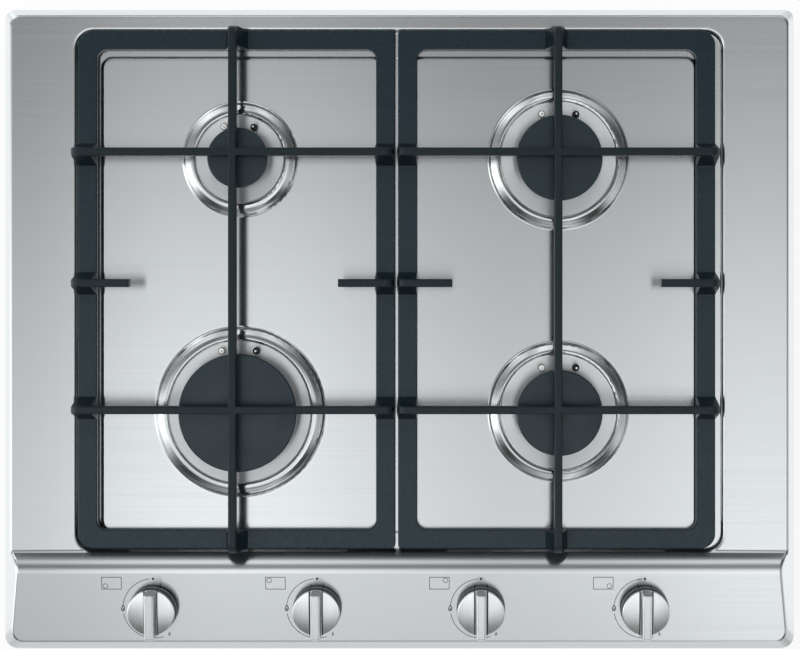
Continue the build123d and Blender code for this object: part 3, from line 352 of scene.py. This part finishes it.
def satin_knob():
    """Metal face brushed along Y and darker towards the front; the skirt below it and the seams
    along the grip are painted dark. All three are painted shade.
    """
    s = Shader("satin_knob", anisotropic=0.7)
    fine = s.noise((2400.0, 60.0, 300.0), 2.0, 0.6)
    wide = s.noise((500.0, 20.0, 60.0), 2.0, 0.6)

    # Distance from the nearest knob's middle plane, and height above the sloping panel.
    half_pitch = KNOB_PITCH / 2
    aside = s.math("PINGPONG", s.math("SUBTRACT", s.axis("X"), half_pitch), half_pitch)
    back = s.math("SUBTRACT", s.axis("Y"), KNOB_Y)
    up = s.math("MULTIPLY", s.math("SUBTRACT", s.axis("Z"), PANEL_Z), cos(PANEL_TILT))
    height = s.math("SUBTRACT", up, s.math("MULTIPLY", back, sin(PANEL_TILT)))

    # Painted shade: the skirt below the disc is darkened, most in its upper part, as the shade
    # under the disc.
    below_disc = s.spread(height, KNOB_SKIRT, KNOB_SKIRT - 0.0004)
    skirt_painted_shade = s.math("MULTIPLY", below_disc, s.spread(height, 0.0045, 0.0065, 0.35, 1.0))
    # Painted shade in the slots on both sides of the grip.
    from_grip = s.spread(aside, GRIP_HALF - 0.0001, GRIP_HALF + 0.0001)
    to_outside = s.spread(aside, SEAM_OUTSIDE + 0.0002, SEAM_OUTSIDE - 0.0002)
    # dark gathers all the painted shade; there the knob is also made non-metal.
    dark = s.math("MAXIMUM", skirt_painted_shade, s.math("MULTIPLY", from_grip, to_outside))

    # Painted shade: the face is slightly darker towards the front than at the back.
    front_painted_shade = s.spread(back, 0.012, -0.022)
    face = s.mix(front_painted_shade, (0.74, 0.76, 0.772), (0.68, 0.7, 0.712))
    face = s.mix(s.vary(wide, 0.0, 0.12), face, (0.45, 0.46, 0.47))
    s.colour(s.mix(dark, face, s.mix(fine, (0.02, 0.022, 0.024), (0.045, 0.048, 0.05))))
    s.feed(s.bsdf.inputs["Metallic"], s.math("SUBTRACT", 1.0, dark))
    s.rough(s.math("ADD", s.vary(fine, 0.26, 0.32), s.math("MULTIPLY", dark, 0.15)))
    s.bump(fine, 0.000002)
    s.follow_grain()
    return s


def machined(name, low, high, roughness):
    s = Shader(name, metallic=1.0)
    lines = s.noise(600.0, 3.0, 0.6)
    dull = s.noise(90.0, 3.0, 0.6)
    s.colour(s.mix(s.vary(dull), low, high))
    s.rough(s.vary(lines, roughness - 0.07, roughness + 0.09))
    s.bump(lines, 0.00003)
    return s


def threaded_brass():
    """Turned brass with a screw thread on its outer end."""
    s = machined("threaded_brass", (0.52, 0.4, 0.19), (0.72, 0.57, 0.3), 0.3)
    aside = s.math("SUBTRACT", s.axis("X"), INLET_X)
    turn = s.math("ARCTAN2", aside, s.math("SUBTRACT", s.axis("Z"), INLET_Z))
    turns_along = s.math("MULTIPLY", s.axis("Y"), 1 / THREAD_PITCH)
    lead = s.math("ADD", turns_along, s.math("MULTIPLY", turn, 0.5 / pi))
    tooth = s.math("PINGPONG", lead, 0.5)
    on_thread = s.spread(s.axis("Y"), THREAD_START_Y, THREAD_START_Y + 0.0006)
    s.bump(s.math("MULTIPLY", tooth, on_thread), 0.0016)
    return s


def zinc_sheet():
    """Galvanised sheet: each spangle has its own tone and gloss."""
    s = Shader("zinc_sheet", metallic=1.0)
    flake = s.noise(500.0, 2.0, 0.5)
    split = s.add("ShaderNodeSeparateColor")
    s.feed(split.inputs[0], s.cells(90.0))
    s.colour(s.mix(split.outputs[0], (0.36, 0.375, 0.39), (0.46, 0.475, 0.485)))
    s.rough(s.spread(split.outputs[1], 0.0, 1.0, 0.34, 0.52))
    s.bump(flake, 0.00003)
    return s


def tops_of(prefix):
    """Middle of the top end (x, y, z) of each burner's node of that kind."""
    tops = []
    for node in every(prefix):
        corners = [vertex.co for vertex in NODES[node].data.vertices]
        top = max(co.z for co in corners)
        end = [co for co in corners if co.z > top - 0.0005]
        tops.append((sum(co.x for co in end) / len(end), sum(co.y for co in end) / len(end), top))
    return tops


def ceramic():
    """White glaze with a dark ring painted round the top edge as the shade of the gap round it."""
    s = Shader("glazed_ceramic", roughness=0.22, coat_weight=0.5, coat_roughness=0.08)
    cloud = s.noise(600.0, 2.0, 0.5)
    tops = tops_of("ignition_electrode")
    top_z = tops[0][2]
    # Painted shade: a dark ring round the top of each electrode.
    gap_painted_shade = s.spread(s.from_axes([(x, y, 0.0021) for x, y, z in tops]), 0.0, 0.0002)
    gap_painted_shade = s.math("MULTIPLY", gap_painted_shade, s.spread(s.axis("Z"), top_z - 0.0016, top_z - 0.0012))
    glaze = s.mix(s.vary(cloud), (0.82, 0.82, 0.79), (0.93, 0.93, 0.91))
    s.colour(s.mix(gap_painted_shade, glaze, (0.06, 0.062, 0.06)))
    s.bump(cloud, 0.00003)
    return s


def sensor_steel():
    """Bright tip in a dark sleeve."""
    s = Shader("sensor_steel", metallic=1.0)
    tips = [(x, y, 0.0009) for x, y, z in tops_of("thermocouple")]
    tip = s.spread(s.from_axes(tips), 0.0001, -0.0001)
    grain = s.noise(1400.0, 2.0, 0.5)
    s.colour(s.mix(tip, (0.012, 0.013, 0.015), (0.72, 0.72, 0.7)))
    s.rough(s.vary(grain, 0.28, 0.42))
    s.bump(grain, 0.00002)
    return s


def moulded(name, low, high, roughness, grain_scale=900.0, depth=0.00006):
    s = Shader(name)
    grain = s.noise(grain_scale, 3.0, 0.55)
    cloud = s.noise(50.0, 2.0, 0.5)
    s.colour(s.mix(s.vary(cloud), low, high))
    s.rough(s.vary(grain, roughness - 0.06, roughness + 0.1))
    s.bump(grain, depth)
    return s


def printed_ink():
    s = Shader("dial_ink")
    cloud = s.noise(3000.0, 2.0, 0.5)
    s.colour(s.mix(cloud, (0.012, 0.012, 0.013), (0.03, 0.03, 0.032)))
    s.rough(s.vary(cloud, 0.45, 0.6))
    return s


dress(brushed_plate(), "hob_plate")
dress(enamelled_iron(), "pan_support_left", "pan_support_right")
dress(enamelled_cap(), *every("burner_cap"))
dress(spun_crown(), *every("burner_crown"))
dress(die_cast_alloy(), *every("burner_cup"))
dress(satin_knob(), *every("knob"))
dress(ceramic(), *every("ignition_electrode"))
dress(sensor_steel(), *every("thermocouple"))
dress(machined("turned_brass", (0.55, 0.42, 0.2), (0.74, 0.59, 0.32), 0.28),
      *every("tap_body"), *every("tap_plunger"), "injectors", "pipe_nuts")
dress(threaded_brass(), "gas_inlet")
dress(machined("plated_steel", (0.5, 0.51, 0.52), (0.68, 0.69, 0.7), 0.32),
      *every("tap_spindle"), "box_nuts", "cup_screws", "ignition_pins", "tap_nuts", "gas_rail",
      "rail_clamps", "rail_screws")
dress(machined("drawn_aluminium", (0.62, 0.63, 0.64), (0.76, 0.77, 0.78), 0.36), "burner_pipes")
dress(zinc_sheet(), "burner_box")
dress(moulded("black_rubber", (0.018, 0.018, 0.019), (0.035, 0.035, 0.036), 0.62),
      "support_feet_left", "support_feet_right", "cable_gland")
dress(moulded("seal_foam", (0.05, 0.05, 0.052), (0.1, 0.1, 0.104), 0.85, 1600.0, 0.0002),
      "sealing_strip")
dress(moulded("dark_moulding", (0.03, 0.03, 0.032), (0.05, 0.05, 0.054), 0.48),
      "ignition_switches", "ignition_generator")
dress(moulded("pale_moulding", (0.62, 0.62, 0.59), (0.72, 0.72, 0.69), 0.45), "terminal_block")

# ---------------------------------------------------------------- printed marks on the panel
INK_LIFT = 0.00003  # keeps the ink's underside off the steel
INK_THICKNESS = 0.00004
STROKE = 0.00048
DIAL_RADIUS = 0.025
OFF_DOT_RADIUS = 0.001
ARCS = ((96, 171, 40), (190, 288, 50))  # start and end in degrees, and number of steps
LOW_FLAME_ANGLE = radians(300)
FULL_FLAME_SIZE, FULL_FLAME_STROKE, FULL_FLAME_CORE = 0.0029, 0.00075, 0.0011
LOW_FLAME_SIZE, LOW_FLAME_STROKE = 0.0014, 0.0005
FLAME_OUTLINE = [(0.0, 1.0), (0.32, 0.45), (0.46, 0.0), (0.4, -0.42), (0.2, -0.68),
                 (-0.08, -0.75), (-0.34, -0.58), (-0.46, -0.2), (-0.36, 0.18), (-0.2, 0.42),
                 (-0.12, 0.66)]
# The small plan of the hob, with the knob's own burner in it.
PLAN_X, PLAN_Y = -0.0339, 0.0213
PLAN_HALF_WIDTH, PLAN_HALF_DEPTH = 0.008, 0.005
PLAN_BURNER_X, PLAN_BURNER_Y, PLAN_BURNER_RADIUS = 0.005, 0.0024, 0.0019


def ribbon(bm, points, width, closed=False):
    """Flat stroke of even width along the points, with mitred corners."""
    points = [Vector(p) for p in points]
    count = len(points)
    sides = []
    for i, p in enumerate(points):
        headings = []
        if closed or i > 0:
            headings.append((p - points[i - 1]).normalized())
        if closed or i < count - 1:
            headings.append((points[(i + 1) % count] - p).normalized())
        along = sum(headings, Vector((0, 0))).normalized()
        across = Vector((-along.y, along.x)) * (width / 2) / max(0.5, along.dot(headings[0]))
        ends = [p + k * across for k in (-1, 1)]
        sides.append([bm.verts.new((*end, INK_LIFT + INK_THICKNESS)) for end in ends])
    for i in range(count if closed else count - 1):
        a, b = sides[i], sides[(i + 1) % count]
        bm.faces.new((a[0], b[0], b[1], a[1]))


def blot(bm, points):
    bm.faces.new([bm.verts.new((*p, INK_LIFT + INK_THICKNESS)) for p in points])


def arc_points(radius, start, end, steps):
    angles = [radians(start + (end - start) * i / steps) for i in range(steps + 1)]
    return [(radius * cos(angle), radius * sin(angle)) for angle in angles]


def ring_points(x, y, radius):
    return [(x + u, y + v) for u, v in arc_points(radius, 0, 360, 32)[:-1]]


def flame_points(x, y, size):
    """Pointed drop with its tip up and a slight lean, the plain sign for a flame."""
    return [(x + u * size, y + v * size) for u, v in FLAME_OUTLINE]


def print_marks(name, ink):
    """Marks of one dial, drawn round the knob's axis and laid on the sloping panel."""
    bm = bmesh.new()
    blot(bm, ring_points(0, DIAL_RADIUS, OFF_DOT_RADIUS))
    for arc in ARCS:
        ribbon(bm, arc_points(DIAL_RADIUS, *arc), STROKE)
    full = flame_points(-DIAL_RADIUS, 0.0002, FULL_FLAME_SIZE)
    ribbon(bm, full, FULL_FLAME_STROKE, closed=True)
    blot(bm, flame_points(-DIAL_RADIUS + 0.0001, -0.0004, FULL_FLAME_CORE))
    low_x, low_y = DIAL_RADIUS * cos(LOW_FLAME_ANGLE), DIAL_RADIUS * sin(LOW_FLAME_ANGLE)
    ribbon(bm, flame_points(low_x, low_y, LOW_FLAME_SIZE), LOW_FLAME_STROKE, closed=True)

    left, right = PLAN_X - PLAN_HALF_WIDTH, PLAN_X + PLAN_HALF_WIDTH
    front, back = PLAN_Y - PLAN_HALF_DEPTH, PLAN_Y + PLAN_HALF_DEPTH
    corners = [(left, front), (right, front), (right, back), (left, back)]
    ribbon(bm, corners, STROKE, closed=True)
    burner_x = PLAN_X + PLAN_BURNER_X * (-1 if "left" in name else 1)
    burner_y = PLAN_Y + PLAN_BURNER_Y * (-1 if "front" in name else 1)
    burner = ring_points(burner_x, burner_y, PLAN_BURNER_RADIUS)
    ribbon(bm, burner, STROKE * 0.9, closed=True)

    to_axis = Matrix.Translation((KNOB_X[name], KNOB_Y, PANEL_Z))
    bm.transform(to_axis @ Matrix.Rotation(PANEL_TILT, 4, "X"))
    mesh = bpy.data.meshes.new(f"dial_marks_{name}")
    bm.to_mesh(mesh)
    bm.free()
    piece = bpy.data.objects.new(f"dial_marks_{name}", mesh)
    scene.collection.objects.link(piece)
    piece.modifiers.new("ink", "SOLIDIFY").thickness = INK_THICKNESS
    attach(piece, "hob")
    mesh.materials.append(ink.material)


ink = printed_ink()
for name in BURNERS:
    print_marks(name, ink)

# ---------------------------------------------------------------- floor
FLOOR_HALF = 4.0
FLOOR_Z = -0.0004
FLOOR_GREY = 0.86
FLOOR_WHITE = 0.86  # share of even white in what is seen of it; the rest takes the shadow
FLOOR_EXTRA = 0.45  # how much brighter metal sees it, from the hob's front edge backwards
EXTRA_FROM_Y = -0.31
EXTRA_FULL_Y = -0.26


def build_floor():
    """Pale floor that takes a soft shadow and otherwise looks white to the camera and to metal."""
    mesh = bpy.data.meshes.new("floor")
    corners = [(FLOOR_HALF * i, FLOOR_HALF * j, 0) for i, j in ((-1, -1), (1, -1), (1, 1), (-1, 1))]
    mesh.from_pydata(corners, [], [(0, 1, 2, 3)])
    floor = bpy.data.objects.new("floor", mesh)
    scene.collection.objects.link(floor)
    floor.location.z = FLOOR_Z

    s = Shader("pale_floor", roughness=0.9, base_color=(FLOOR_GREY, FLOOR_GREY, FLOOR_GREY, 1))
    rays = s.add("ShaderNodeLightPath").outputs
    seen = s.math("MAXIMUM", rays["Is Camera Ray"], rays["Is Glossy Ray"])
    seen = s.math("MAXIMUM", seen, rays["Is Transmission Ray"])
    extra = s.spread(s.axis("Y"), EXTRA_FROM_Y, EXTRA_FULL_Y, 0.0, FLOOR_EXTRA, smooth=True)
    white = s.add("ShaderNodeEmission")
    level = s.math("ADD", 1.0, s.math("MULTIPLY", extra, rays["Is Glossy Ray"]))
    s.feed(white.inputs["Strength"], level)
    both = s.add("ShaderNodeMixShader")
    s.feed(both.inputs[0], s.math("MULTIPLY", seen, FLOOR_WHITE))
    s.feed(both.inputs[1], s.bsdf.outputs[0])
    s.feed(both.inputs[2], white.outputs[0])
    s.feed(s.tree.nodes["Material Output"].inputs["Surface"], both.outputs[0])
    mesh.materials.append(s.material)


build_floor()

# ---------------------------------------------------------------- world
# What metal sees of the studio, as pairs of a direction's component (-1 to 1) and a level.
FRONT_TO_BACK = [(-1.0, 0.9), (-0.8, 0.65), (-0.68, 0.25), (-0.6, 0.12), (-0.53, 0.5),
                 (-0.45, 1.15), (-0.3, 1.28), (-0.16, 1.5), (-0.06, 1.35), (0.03, 0.9),
                 (0.1, 0.48), (0.2, 0.2), (0.38, 0.2), (0.5, 0.35), (0.62, 1.0), (0.75, 1.3),
                 (0.85, 0.75), (0.93, 0.12), (1.0, 0.05)]
LEFT_TO_RIGHT = [(-1.0, 1.8), (-0.6, 1.7), (-0.45, 1.2), (-0.3, 0.72), (-0.24, 0.74),
                 (-0.18, 1.22), (-0.1, 1.2), (-0.04, 0.95), (0.03, 0.76), (0.09, 0.85),
                 (0.17, 1.08), (0.25, 1.0), (0.4, 0.65), (0.75, 0.4), (1.0, 0.5)]
LEFT_TO_RIGHT_IN_FRONT = [(-1.0, 1.3), (-0.6, 0.7), (-0.25, 0.75), (-0.12, 1.0), (0.0, 0.98),
                          (0.1, 1.1), (0.2, 1.5), (0.3, 1.3), (0.5, 0.6), (1.0, 0.8)]
FRONT_FROM, FRONT_FULL = -0.2, -0.36  # directions between which the last row takes over
DARK_PATCHES = [(-0.55, -0.5, 0.3, 0.12), (0.43, -0.5, 0.28, 0.1)]  # x, y, radius, level
PATCH_CORE = 0.35  # share of a patch's radius that has its full darkness
BRIGHTEST = 2.0  # a ramp's colours end at 1, so its levels are stored as shares of this
AMBIENT = 0.5


class World(NodeTree):
    """Even light for matt surfaces; metal and glass see soft bands of light and dark instead."""

    def __init__(self, name):
        world = bpy.data.worlds.new(name)
        scene.world = world
        world.use_nodes = True
        super().__init__(world.node_tree)
        self.tree.nodes.clear()

    def curve(self, value, stops):
        ramp = self.add("ShaderNodeValToRGB")
        ramp.color_ramp.interpolation = "EASE"
        elements = ramp.color_ramp.elements
        while len(elements) < len(stops):
            elements.new(0.5)
        for element, (at, level) in zip(elements, stops):
            share = level / BRIGHTEST
            element.position = (at + 1) / 2
            element.color = (share, share, share, 1)
        self.feed(ramp.inputs[0], self.math("MULTIPLY_ADD", value, 0.5, 0.5))
        return self.math("MULTIPLY", ramp.outputs[0], BRIGHTEST)

    def bands(self):
        """Level of the studio in a ray's direction."""
        split = self.add("ShaderNodeSeparateXYZ")
        self.feed(split.inputs[0], self.add("ShaderNodeTexCoord").outputs["Generated"])
        across, along = split.outputs["X"], split.outputs["Y"]
        in_front = self.spread(along, FRONT_FROM, FRONT_FULL, smooth=True)
        side = self.blend(in_front, self.curve(across, LEFT_TO_RIGHT),
                          self.curve(across, LEFT_TO_RIGHT_IN_FRONT))
        level = self.math("MULTIPLY", self.curve(along, FRONT_TO_BACK), side)
        for x, y, radius, dark in DARK_PATCHES:
            square_x = self.math("POWER", self.math("SUBTRACT", across, x), 2.0)
            square_y = self.math("POWER", self.math("SUBTRACT", along, y), 2.0)
            away = self.math("SQRT", self.math("ADD", square_x, square_y))
            patch = self.spread(away, PATCH_CORE * radius, radius, dark, smooth=True)
            level = self.math("MULTIPLY", level, patch)
        return level

    def shine(self):
        """White for the camera, the studio for reflections and an even level for the rest."""
        rays = self.add("ShaderNodeLightPath").outputs
        mirror = self.math("MAXIMUM", rays["Is Glossy Ray"], rays["Is Transmission Ray"])
        level = self.blend(mirror, AMBIENT, self.bands())
        level = self.blend(rays["Is Camera Ray"], level, 1.0)
        background = self.add("ShaderNodeBackground")
        background.inputs["Color"].default_value = (1, 1, 1, 1)
        self.feed(background.inputs["Strength"], level)
        output = self.add("ShaderNodeOutputWorld")
        self.feed(output.inputs["Surface"], background.outputs[0])


World("studio").shine()

# ---------------------------------------------------------------- lamp and camera
LAMP_AT = (-0.35, 0.55, 2.3)
LAMP_TARGET = (0.0, 0.0, 0.05)
LAMP_SIZE = (2.2, 1.6)
LAMP_WATTS = 42.0

CAMERA_AT = (0.048, 0.0236, 1.4315)
CAMERA_LENS = 75.62
CAMERA_SENSOR = 36.0
CAMERA_SHIFT = (-0.0722, -0.0301)
CAMERA_NEAR = 0.01

lamp_data = bpy.data.lights.new("overhead", "AREA")
lamp_data.shape = "RECTANGLE"
lamp_data.size, lamp_data.size_y = LAMP_SIZE
lamp_data.energy = LAMP_WATTS
lamp = bpy.data.objects.new("overhead", lamp_data)
scene.collection.objects.link(lamp)
lamp.location = LAMP_AT
lamp_heading = Vector(LAMP_TARGET) - lamp.location
lamp.rotation_euler = lamp_heading.to_track_quat("-Z", "Y").to_euler()
lamp.visible_glossy = False

camera_data = bpy.data.cameras.new("camera")
camera_data.lens = CAMERA_LENS
camera_data.sensor_width = CAMERA_SENSOR
camera_data.shift_x, camera_data.shift_y = CAMERA_SHIFT
camera_data.clip_start = CAMERA_NEAR
camera = bpy.data.objects.new("camera", camera_data)
scene.collection.objects.link(camera)
camera.location = CAMERA_AT
scene.camera = camera
scene.view_settings.view_transform = "Standard"
